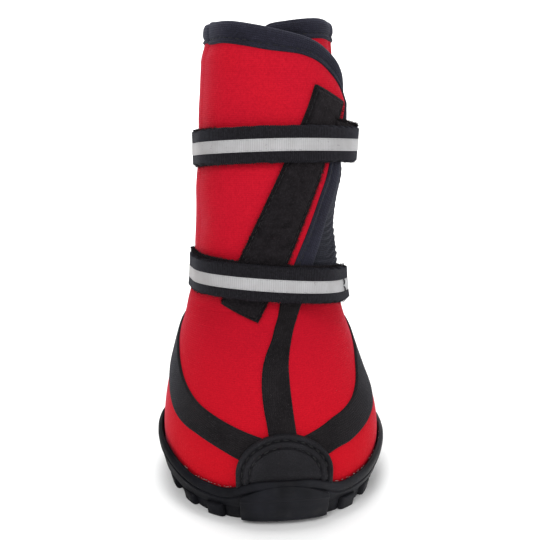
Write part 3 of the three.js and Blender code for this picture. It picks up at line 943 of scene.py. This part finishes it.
def make_flap_binding():
    line = flap_border()

    def inner(angle, height):
        lapped = smooth_step(angle, -100, -55)
        return crease(angle, height) + mix(-WALL + 0.4, flap_inner(angle, height), lapped)

    def outer(angle, height):
        return crease(angle, height) + flap_outer(angle, height)

    narrow = smooth_step(line[:, 0], -8, 30) * smooth_step(line[:, 1], 138, 154)
    width = mix(5.6, 7.4, smooth_step(line[:, 0], -100, -50)) - 1.2 * narrow
    rings, uv = binding_rings(line, inner, outer, width)
    raise_fold(rings, line, -76, 17)
    binding = sweep("flap_binding", rings, BINDING, uv=uv, flip=True)
    finish_piece(binding)
    seam_in_groove("flap_binding_stitches", line, outer, width)


def make_collar_binding():
    angle = ring_angles(300)
    line = joined(angle, COLLAR.at(angle)["height"])
    width = mix(5.6, 6.8, np.maximum(smooth_step(angle, -20, 20), fall(angle, -160, -110)))
    rings, uv = binding_rings(line, shell_inner, shell_offset, width)
    raise_fold(rings, line, -84, 24)
    binding = sweep("collar_binding", rings, BINDING, closed=True, uv=uv, flip=True)
    finish_piece(binding)
    seam_in_groove("collar_binding_stitches", line[160:], shell_offset, width[160:])
    seam_in_groove("collar_binding_stitches_left", line[:62], shell_offset, width[:62])


def sew_band(name, low, high, base, thickness):
    """A flat black tape sewn on the neoprene, between two lines of (angle, height)."""
    finish_piece(ribbon(name, low, high, base, thickness, BAND, across=14))


def make_front_tape():
    height = np.linspace(30, 84, 70)
    edges = FRONT_TAPE.at(height)
    sew_band("front_seam_tape", joined(edges["left"], height), joined(edges["right"], height),
             on_front, 0.85)


def make_side_band(name, side, table):
    angle = np.linspace(10, 180, 130)
    edges = table.at(angle)
    lines = [joined(side * angle, edges[key]) for key in ("low", "high")]
    sew_band(name, *lines[::side], lambda a, h: crease(a, h) + 0.05, 0.75)


def make_back_tape():
    height = np.linspace(17, 166, 110)
    half = np.degrees(BACK_TAPE_WIDTH / 2 / LAST.at(height)["half_width"])
    sew_band("back_seam_tape", joined(180 - half, height), joined(180 + half, height),
             lambda a, h: crease(a, h) + 0.1, 0.85)


def gusset_wrinkle(angle, height):
    """Fine gathers across the stretch panel, strongest above the lower strap."""
    strength = 0.06 + 0.26 * bell(height, 92, 9)
    wander = 1.6 * np.sin(np.radians(angle * 3.1)) + 0.9 * np.sin(np.radians(angle * 7.3) + 1)
    level = height + wander
    folds = np.sin(level * 2 * math.pi / 2.3) + 0.5 * np.sin(level * 2.1 + angle * 0.12)
    fade = smooth_step(angle, 12, 24) * fall(angle, 90, 98)
    return strength * folds * fade


def make_gusset():
    rows, columns = 190, 110
    angle = np.linspace(8, 98, columns)[None]
    foot = strap_middle(LOWER_STRAP, angle) - 1
    height = mix(foot, 134, np.linspace(0, 1, rows)[:, None])
    angle = np.broadcast_to(angle, height.shape)
    wall = shell_offset(angle, height)
    edge = np.minimum(fall(angle, 96, 98.2), fall(height, 132, 134.2))
    raised = wall + 0.85 + gusset_wrinkle(angle, height)
    points, quads = closed_sheet(last_point(angle, height, mix(wall - 0.2, raised, edge)),
                                 last_point(angle, height, wall - 0.6))
    uv = joined(np.radians(angle) * CLOTH_RADIUS, height)
    gusset = new_object("stretch_gusset", points, np.concatenate(quads), GUSSET,
                        uv=np.concatenate([uv, uv]))
    finish_piece(gusset)
    seam = joined(95.2, np.linspace(76, 132, 120))
    stitch_row("stretch_gusset_stitches", seam, shell_offset(*seam.T) + 0.95,
               1.9, 0.9, 0.18)


make_shell()
make_flap()
make_collar_binding()
make_flap_binding()
make_front_tape()
make_side_band("side_band_left", -1, LEFT_BAND)
make_side_band("side_band_right", 1, RIGHT_BAND)
make_back_tape()
make_gusset()


# --------------------------------------------------------------------- diagonal loop tape

def make_loop_tape():
    step = np.linspace(0, 4, 120)
    centre = LOOP_TAPE.at(step)
    line = joined(centre["angle"], centre["height"])
    half = centre["width"] / 2
    left = beside(line, half)
    right = beside(line, -half)

    def base(angle, height):
        return on_front(angle, height) + 0.1

    tape = ribbon("loop_tape_ground", left, right, base, 0.9, PILE, across=40, rim=0.5)
    finish_piece(tape, ["loop_tape"])

    share = np.linspace(0, 1, len(line))
    cut = np.linspace(0.012, 0.988, 130)
    pile_left = read_along(beside(line, half - 1.5), share, cut)
    pile_right = read_along(beside(line, 1.5 - half), share, cut)
    pile = ribbon("loop_tape_pile", pile_left, pile_right,
                  lambda a, h: base(a, h) + 0.7, 0.7, PILE, across=40, rim=1.2)
    finish_piece(pile)

    count = 5200
    where = rng.uniform(0, 1, count)
    place = rng.uniform(-1, 1, count)
    hug = rng.uniform(0, 1, count) < 0.45
    place = np.where(hug, np.sign(place) * (1 - np.abs(rng.normal(0, 0.035, count))), place)
    spot = read_along(line, share, where)
    order = np.argsort(where)
    side = np.zeros_like(spot)
    side[order] = beside(spot[order], 1.0) - spot[order]
    spot = spot + side * (place * LOOP_TAPE.at(4 * where)["width"] / 2)[:, None]
    roots = last_point(*spot.T, base(*spot.T) + 0.75)
    direction = section_normal(*spot.T) + rng.normal(0, 0.55, (count, 3))
    direction /= np.linalg.norm(direction, axis=1, keepdims=True)
    fuzz = fibres("loop_tape_fuzz", roots, direction, rng.uniform(0.5, 1.3, count), 0.055, PILE)
    finish_piece(fuzz)

    for name, edge in (("left", half - 1.1), ("right", 1.1 - half)):
        seam = beside(line, edge)
        stitch_row("loop_tape_stitches_" + name, seam, base(*seam.T) + 0.95,
                   1.9, 0.8, 0.16)


make_loop_tape()


# -------------------------------------------------------------------------------- straps

RIB_PITCH = 0.8
RIB_DEPTH = 0.13        # how far each rib stands out at the webbing's edge
WEBBING_GAP = 0.15      # the webbing's back off its run
SIDE_TURNS = (276, 446)  # where a strap bends round the sides and tucks in its lower edge
SIDE_TUCK = 1.1
TAPE_TURNS = 362        # the reflective tape starts this far back from the free end
BACKING_THICKNESS = 1.4


def strap_line(strap, rise, first, last, count):
    turn = np.linspace(first, last, count)
    return joined(turn, strap_middle(strap, turn) + rise)


def make_strap(name, strap, tape_shift):
    first, last = strap["run"].rows[[0, -1], 0]
    length = arc_lengths(last_point(*strap_line(strap, 0, first, last, 60).T, 4.0))[-1]
    ribs = length / RIB_PITCH
    stations = int(4 * ribs)
    turn = np.linspace(first, last, stations)
    rib = RIB_DEPTH * np.sin(np.linspace(0, 2 * math.pi * ribs, stations))
    wander = [np.interp(turn, np.linspace(first, last, 90), rng.normal(0, 0.07, 90))
              for _ in range(2)]
    low = strap_line(strap, -STRAP_WIDTH / 2 - rib + wander[0], first, last, stations)
    high = strap_line(strap, STRAP_WIDTH / 2 + rib + wander[1], first, last, stations)

    def base(turn, height):
        away = (height - strap_middle(strap, turn)) / STRAP_WIDTH
        sides = sum(bell(turn, side, 24) for side in SIDE_TURNS)
        ripple = (0.12 * np.sin(np.radians(turn) * 9) - 0.25 * away**2) * away
        tucked = SIDE_TUCK * sides * (away - 0.25)
        return strap["run"].at(turn)["offset"] + WEBBING_GAP + (ripple + tucked)

    band = ribbon(name + "_webbing", high, low, base, STRAP_THICKNESS, WEBBING, rim=0.55,
                  under=0.0)
    finish_piece(band, [name])

    tape_low, tape_high = -2.3 + tape_shift, 2.2 + tape_shift
    start = last - TAPE_TURNS
    silver = ribbon(name + "_reflective_tape",
                    strap_line(strap, tape_high, start, last - 0.4, 400),
                    strap_line(strap, tape_low, start, last - 0.4, 400),
                    lambda t, h: base(t, h) + STRAP_THICKNESS - 0.05, 0.2, SILVER,
                    across=10, rim=0.25)
    finish_piece(silver)
    for edge, rise in (("low", tape_low + 0.4), ("high", tape_high - 0.4)):
        line = strap_line(strap, rise, start, last - 1, 300)
        stitch_row(name + "_tape_stitches_" + edge, line,
                   base(*line.T) + STRAP_THICKNESS + 0.1, 1.7, 0.7, 0.09,
                   SILVER_THREAD)
    return base


def make_pile_backing(name, strap, base, first, last, rise, width):
    """Hook and loop tape behind a strap, standing a little past its edge."""
    rise = np.linspace(*rise, 60)
    low = strap_line(strap, rise - width / 2, first, last, 60)
    high = strap_line(strap, rise + width / 2, first, last, 60)
    turn = np.radians(low[:, 0])
    ragged = 0.25 * np.sin(turn * 47) + 0.15 * np.sin(turn * 113)
    high[:, 1] += ragged
    low[:, 1] += 0.6 * ragged
    backing = ribbon(name, high, low, lambda t, h: base(t, h) - BACKING_THICKNESS - 0.1,
                     BACKING_THICKNESS, PILE, across=10, rim=0.6)
    finish_piece(backing)


def end_stitches(name, strap, base, turn, low, high):
    """A row of dark thread across a strap near its free end."""
    line = joined(float(turn), strap_middle(strap, turn) + np.linspace(low, high, 12))
    stitch_row(name, line, base(*line.T) + STRAP_THICKNESS + 0.5, 2.9, 0.05, 0.45)


def edge_fuzz(name, strap, base, turns, rise, count, length):
    """Hook and loop pile that sticks out past a strap's edge."""
    share = rng.uniform(0, 1, count)
    turn = mix(*turns, share)
    height = strap_middle(strap, turn) + mix(*rise, share) + rng.normal(0, 0.25, count)
    depth = rng.uniform(-0.9, 1.0, count)
    roots = last_point(turn, height, base(turn, height) + depth)
    outward = section_normal(turn, height)
    up = np.sign(rise[0]) * np.array([0, 0.14, 0.99])
    direction = up + outward * rng.normal(0.1, 0.5, (count, 1)) + rng.normal(0, 0.35, (count, 3))
    direction /= np.linalg.norm(direction, axis=1, keepdims=True)
    lengths = rng.uniform(0.4, 1.0, count) * length
    hairs = fibres(name, roots, direction, lengths, 0.07, PILE, curl=0.6)
    finish_piece(hairs)


EDGE = STRAP_WIDTH / 2
BACKINGS = [  # strap, place, first and last turn, rise at each, width
    ("upper", "hooks_left", 258, 318, (0.0, -0.2), 12.5),
    ("upper", "hooks_right", 410, 474, (2.7, -0.8), 12.5),
    ("lower", "hooks_left", 258, 330, (1.5, 0.9), 12.5),
    ("lower", "hooks_right", 330, 434, (0.9, 0.8), 12.5),
    ("lower", "fold", 426, 435.2, (0.5, 0.5), 13),
]
FUZZ = [  # strap, place, first and last turn, rise at each, hairs, their length
    ("upper", "left", (258, 318), (EDGE, EDGE), 700, 0.6),
    ("upper", "right", (410, 474), (EDGE + 2.2, EDGE - 1.2), 1500, 0.8),
    ("lower", "left", (258, 330), (EDGE + 1.1, EDGE + 0.5), 1300, 0.9),
    ("lower", "right", (330, 434), (EDGE + 0.5, EDGE + 0.4), 1200, 0.7),
    ("upper", "under", (270, 474), (-EDGE, -EDGE), 900, 0.5),
    ("lower", "under", (270, 434), (-EDGE, -EDGE), 800, 0.5),
]

straps = {
    "upper": (UPPER_STRAP, make_strap("strap_upper", UPPER_STRAP, -0.2)),
    "lower": (LOWER_STRAP, make_strap("strap_lower", LOWER_STRAP, -0.6)),
}
for which, place, first, last, rise, width in BACKINGS:
    make_pile_backing(f"strap_{which}_{place}", *straps[which], first, last, rise, width)
end_stitches("strap_lower_end_stitches", *straps["lower"], 419.5, -3.7, 2.5)
for which, place, turns, rise, count, length in FUZZ:
    edge_fuzz(f"strap_{which}_fuzz_{place}", *straps[which], turns, rise, count, length)


# ------------------------------------------------------------------------------- toe cap

CAP_HALF_ANGLE = 23.5
CAP_SHOULDER = 18
CAP_TOP = 33.2
OUTER_ROW, INNER_ROW = 2.5, 5.2     # the cap's two stitch rows, in from its edge


def cap_arch(share):
    """Height of the cap's outline, share from -1 to 1 across it."""
    return CAP_SHOULDER + (CAP_TOP - CAP_SHOULDER) * np.sqrt(np.clip(1 - share**2, 0, 1))


def cap_outline():
    turn = np.linspace(math.pi, 0, 160)
    share = np.cos(turn)
    angle = share * CAP_HALF_ANGLE
    line = joined(angle, cap_arch(share))
    foot = RAND_TOP.at(CAP_HALF_ANGLE)["height"]
    left = joined(-CAP_HALF_ANGLE, np.linspace(foot, CAP_SHOULDER, 20, endpoint=False))
    return np.concatenate([left, line, left[::-1] * [-1, 1]])


def cap_profile(distance, rise):
    """Offset of the cap's face by the distance in from its arched edge."""
    rim = 1.9 * quarter_round(distance / 0.9)
    piping = 0.55 * bell(distance, 1.15, 0.8)
    groove = -0.7 * bell(distance, OUTER_ROW, 0.36)
    band = 0.35 * bell(distance, 3.8, 0.9)
    second = -0.65 * bell(distance, INNER_ROW, 0.36)
    fold = 0.75 * bell(rise, 2.2, 1.2) - 0.8 * bell(rise, 0.0, 0.8)
    return 0.3 + rim + piping + groove + band + second + fold * smooth_step(distance, 0.5, 3)


def make_toe_cap():
    rows, columns = 150, 190
    share = np.sin(np.linspace(-math.pi / 2, math.pi / 2, columns))[None]
    v = np.linspace(0, 1, rows)[:, None]
    angle = np.broadcast_to(share * CAP_HALF_ANGLE, (rows, columns))
    foot = RAND_TOP.at(np.abs(angle))["height"] - 0.1
    height = mix(foot, cap_arch(share), v)
    outline = last_point(*cap_outline().T)
    spots = last_point(angle, height).reshape(-1, 3)
    distance = np.full(len(spots), 1e9)
    for start, end in zip(outline[:-1], outline[1:]):
        way = end - start
        t = np.clip((spots - start) @ way / (way @ way), 0, 1)
        distance = np.minimum(distance, np.linalg.norm(spots - start - t[:, None] * way, axis=1))
    distance = distance.reshape(rows, columns)
    offset = cap_profile(distance, height - foot)
    points, quads = closed_sheet(last_point(angle, height, offset),
                                 last_point(angle, height, 0.25))
    cap = new_object("toe_cap_leather", points, np.concatenate(quads), LEATHER)
    finish_piece(cap, ["toe_cap"])
    for name, inset in (("outer", OUTER_ROW), ("inner", INNER_ROW)):
        line = beside(even_line(cap_outline(), 0.7), -inset)
        rise = line[:, 1] - RAND_TOP.at(np.abs(line[:, 0]))["height"]
        line = line[rise > 2.6]
        seat = cap_profile(np.full(len(line), inset), rise[rise > 2.6])
        stitch_row("toe_cap_stitches_" + name, line, seat, 2.3, 0.9, 0.3)


make_toe_cap()


# ------------------------------------------------------------------------------ outsole

SOLE_SIDES = 300
BUMPER_HALF_ANGLE = 21
RIM_LUGS = 17
FIRST_LUG = 35.5
RIM_LUG_HALF_ANGLE = 4.9
BLOCK_SIDE_ROUNDING = 5     # a block is level from one over this of its width in from each side
BLOCK_END_ROUNDING = 4.5
BLOCK_EDGE_DROP = 0.8
SOLE_SIDE = [  # height, or how far under the rand's top edge; offset
    ("height", TREAD, -1.6), ("height", 2.8, -1.3), ("height", 3.3, -0.8), ("height", 4.2, 0.0),
    ("height", 5.4, 0.8), ("height", 6.8, 1.5), ("below", 5.2, 2.2), ("below", 4.6, 2.55),
    ("below", 4.15, 2.6), ("below", 3.95, 2.2), ("below", 3.7, 2.0), ("below", 3.45, 2.45),
    ("below", 2.6, 2.7), ("below", 1.5, 2.6), ("below", 0.7, 2.3), ("below", 0.2, 1.85),
    ("below", 0.0, 1.4), ("below", 0.1, 0.95), ("below", 0.5, 0.65),
]


def make_sole_body():
    angle = ring_angles(SOLE_SIDES)
    top = RAND_TOP.at(np.abs(angle))["height"]
    rings = []
    for fraction in (0.02, 0.2, 0.4, 0.6, 0.8, 0.94):
        rings.append(last_point(angle, TREAD, 1.6, fraction))
    for kind, number, offset in SOLE_SIDE:
        height = np.full_like(angle, number) if kind == "height" else top - number
        rings.append(last_point(angle, height, offset))
    for share in (0.7, 0.35, 0.0):
        rings.append(last_point(angle, mix(CUP_FLOOR, top, share), CUP_INSIDE))
    for fraction in (0.8, 0.6, 0.4, 0.2, 0.02):
        rings.append(last_point(angle, CUP_FLOOR, CUP_INSIDE, fraction))
    return np.stack(rings)


def make_block(place, across, along, inner, outer):
    """A rounded block over a field of the last: points and quads."""
    u = np.linspace(0, 1, across)[None]
    v = np.linspace(0, 1, along)[:, None]
    angle, height = place(u, v)
    angle, height = np.broadcast_arrays(angle, height)
    from_side = np.minimum(u, 1 - u) * BLOCK_SIDE_ROUNDING
    from_end = np.minimum(v + 0.35, 1 - v) * BLOCK_END_ROUNDING
    near = np.minimum(from_side, from_end)
    rounded = quarter_round(near)
    face = outer(angle, height)
    points, quads = closed_sheet(last_point(angle, height, mix(face - BLOCK_EDGE_DROP, face, rounded)),
                                 last_point(angle, height, inner(angle, height)))
    points[:, 2] = np.maximum(points[:, 2], 0)
    return points, np.concatenate(quads)


def bumper_top(share):
    return 9.8 + 4.6 * (1 - share**2)


def bumper_face(angle, height):
    """The bumper bellies out, with a bevelled upper part under its arched edge."""
    share = angle / BUMPER_HALF_ANGLE
    bevel = bumper_top(share) - 1.2 - 3.4 * (1 - share**2)
    lip = 0.35 * bell(height, bevel, 0.5)
    return 4.3 - 0.2 * np.maximum(height - bevel, 0) + lip - 1.3 * fall(height, 0, 5)


TREAD_ROWS = [  # y, number of blocks, pitch, block width, block length
    (-30, 2, 18, 12, 8),
    (-17, 3, 19, 12, 8),
    (-4, 3, 21, 13, 8),
    (9, 3, 21, 13, 8),
    (22, 3, 20, 13, 8),
    (34, 2, 18, 12, 7),
]


def tread_block(x, y, width, length):
    """A tread block with a bevelled foot."""
    levels = [(TREAD + 0.4, 1.0), (0.35, 1.0), (0.0, 0.95)]
    outline = np.array([(-1, -1), (0, -1), (1, -1), (1, 0), (1, 1), (0, 1), (-1, 1), (-1, 0)])
    rings = []
    for z, share in levels:
        ring = np.zeros((8, 3))
        ring[:, 0] = x + outline[:, 0] * width / 2 * share
        ring[:, 1] = y + outline[:, 1] * length / 2 * share
        ring[:, 2] = z + lift(ring[:, 1], np.full(8, z))
        rings.append(ring)
    return np.stack(rings)


def make_outsole():
    rings = make_sole_body()
    stations = len(rings)
    points = [rings.reshape(-1, 3)]
    quads = [grid_quads(stations, SOLE_SIDES, wrap_columns=True)]
    polygons = end_caps(stations, SOLE_SIDES)
    total = len(points[0])

    def take(block):
        nonlocal total
        points.append(block[0])
        quads.append(block[1] + total)
        total += len(block[0])

    take(make_block(lambda u, v: ((2 * u - 1) * BUMPER_HALF_ANGLE, v * bumper_top(2 * u - 1)),
                    90, 60, lambda a, h: mix(-3.0, 1.2, smooth_step(h, 3.5, 6)), bumper_face))
    pitch = (360 - 2 * FIRST_LUG) / (RIM_LUGS - 1)
    lugs = [(FIRST_LUG + pitch * index, -0.4) for index in range(RIM_LUGS)]
    lugs += [(FIRST_LUG + pitch * (index - 0.5), -2.2) for index in range(RIM_LUGS + 1)]
    for middle, outermost in lugs:
        sprung = lift(last_point(np.array(middle), TREAD)[1], TREAD)

        def place(u, v, middle=middle, deeper=0.8 * sprung):
            spread = (2 * u - 1) * RIM_LUG_HALF_ANGLE * (1 - 0.1 * v)
            return middle + spread, v * (TREAD + 2) - deeper * (1 - v)

        def root(angle, height, outermost=outermost):
            return np.full_like(height, outermost - 8)

        def face(angle, height, outermost=outermost):
            from_toe = np.minimum(angle, 360 - angle)
            return outermost + 0.25 * height + 1.2 * fall(from_toe, 36, 62)

        take(make_block(place, 14, 10, root, face))
    for y, count, pitch, width, length in TREAD_ROWS:
        for index in range(count):
            rings = tread_block((index - (count - 1) / 2) * pitch, y, width, length)
            levels, corners = rings.shape[:2]
            polygons += [cap[::-1] for cap in end_caps(levels, corners, total)]
            sides = grid_quads(levels, corners, wrap_columns=True)
            take((rings.reshape(-1, 3), sides[:, ::-1]))
    sole = new_object("outsole_rubber", np.concatenate(points), np.concatenate(quads), RUBBER,
                      polygons=polygons)
    finish_piece(sole, ["outsole"])


make_outsole()


def make_glue():
    """Crumbs of dried cement where the rand meets the cloth, on both sides of the toe."""
    count = 54
    angle = np.concatenate([rng.normal(-36, 9, count // 2), rng.normal(38, 12, count // 2)])
    angle = angle[np.abs(angle) > 25]
    height = RAND_TOP.at(np.abs(angle))["height"] + rng.uniform(0.0, 0.35, len(angle))
    centre = last_point(angle, height, rng.uniform(0.5, 1.0, len(angle)))
    around, up = section_slopes(angle, height)
    around /= np.linalg.norm(around, axis=-1, keepdims=True)
    out = section_normal(angle, height)
    rings = []
    for share, swell in ((-1, 0.15), (-0.5, 0.85), (0.1, 1.0), (0.6, 0.7), (1, 0.12)):
        for turn in np.linspace(0, 2 * math.pi, 6)[:-1]:
            girth = rng.uniform(0.05, 0.12, (len(angle), 1)) * swell
            rings.append(centre + around * share * rng.uniform(0.12, 0.55, (len(angle), 1))
                         + girth * (math.cos(turn) * up + math.sin(turn) * out))
    tubes = np.stack(rings, axis=1).reshape(len(angle), 5, 5, 3)
    finish_piece(many_tubes("glue_crumbs", tubes, GLUE))


make_glue()

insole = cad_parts["insole"]
insole.data.materials.clear()
insole.data.materials.append(FELT)


# ------------------------------------------------------------------- stage and camera

def make_stage():
    """A pale floor that sweeps up behind the boot."""
    reach, half_width, back, radius, top = 1.6, 2.4, 0.9, 0.5, 2.2
    turn = np.linspace(0, math.pi / 2, 14)
    profile = [(-reach, 0.0), (back, 0.0)]
    profile += [(back + radius * math.sin(t), radius * (1 - math.cos(t))) for t in turn[1:]]
    profile.append((back + radius, top))
    points = [(x / MM, y / MM, z / MM) for y, z in profile for x in (-half_width, half_width)]
    s = Shader("studio_floor", Roughness=0.7, Specular_IOR_Level=0.2)
    tone = s.noise(0.4)
    s.colour(s.mottle(tone, (0.93, 0.93, 0.93), (0.95, 0.95, 0.95)))
    floor = new_object("studio_floor", points, grid_quads(len(profile), 2)[:, ::-1], s.material)


BOOT_MIDDLE = (0, 0, 0.08)
LIGHTS = [  # name, place and size in metres, power in watts, aim
    ("key", (-0.45, -0.85, 0.95), 0.6, 6.7, BOOT_MIDDLE),
    ("fill", (0.8, -0.75, 0.55), 0.9, 4.3, BOOT_MIDDLE),
    ("top", (0.0, 0.3, 1.3), 0.8, 8.5, BOOT_MIDDLE),
    ("backdrop", (0.0, 0.5, 1.0), 0.9, 14, (0, 1.4, 0.35)),
]
WORLD_STRENGTH = 0.45


def add_light(name, location, size, power, aim):
    data = bpy.data.lights.new(name, "AREA")
    data.shape = "DISK"
    data.size = size
    data.energy = power
    lamp = put_in_scene(name, data)
    lamp.location = location
    way = np.array(aim) - np.array(location)
    lamp.rotation_euler = Vector(way).to_track_quat("-Z", "Y").to_euler()


def make_lights():
    for light in LIGHTS:
        add_light(*light)
    world = bpy.data.worlds.new("studio")
    world.use_nodes = True
    background = world.node_tree.nodes["Background"]
    background.inputs["Color"].default_value = (1, 1, 1, 1)
    background.inputs["Strength"].default_value = WORLD_STRENGTH
    bpy.context.scene.world = world


CAMERA_YAW = 6.5        # degrees: the toe points a little to the camera's right
CAMERA_PITCH = 16.3
CAMERA_PLACE = (-0.0393, -0.3448, 0.185)
CAMERA_LENS = 62.5


def make_camera():
    data = bpy.data.cameras.new("camera")
    data.lens = CAMERA_LENS
    data.sensor_width = 36
    camera = put_in_scene("camera", data)
    camera.location = CAMERA_PLACE
    camera.rotation_euler = (math.radians(90 - CAMERA_PITCH), 0, math.radians(-CAMERA_YAW))
    bpy.context.scene.camera = camera


make_stage()
make_lights()
make_camera()
bpy.context.scene.view_settings.view_transform = "Standard"
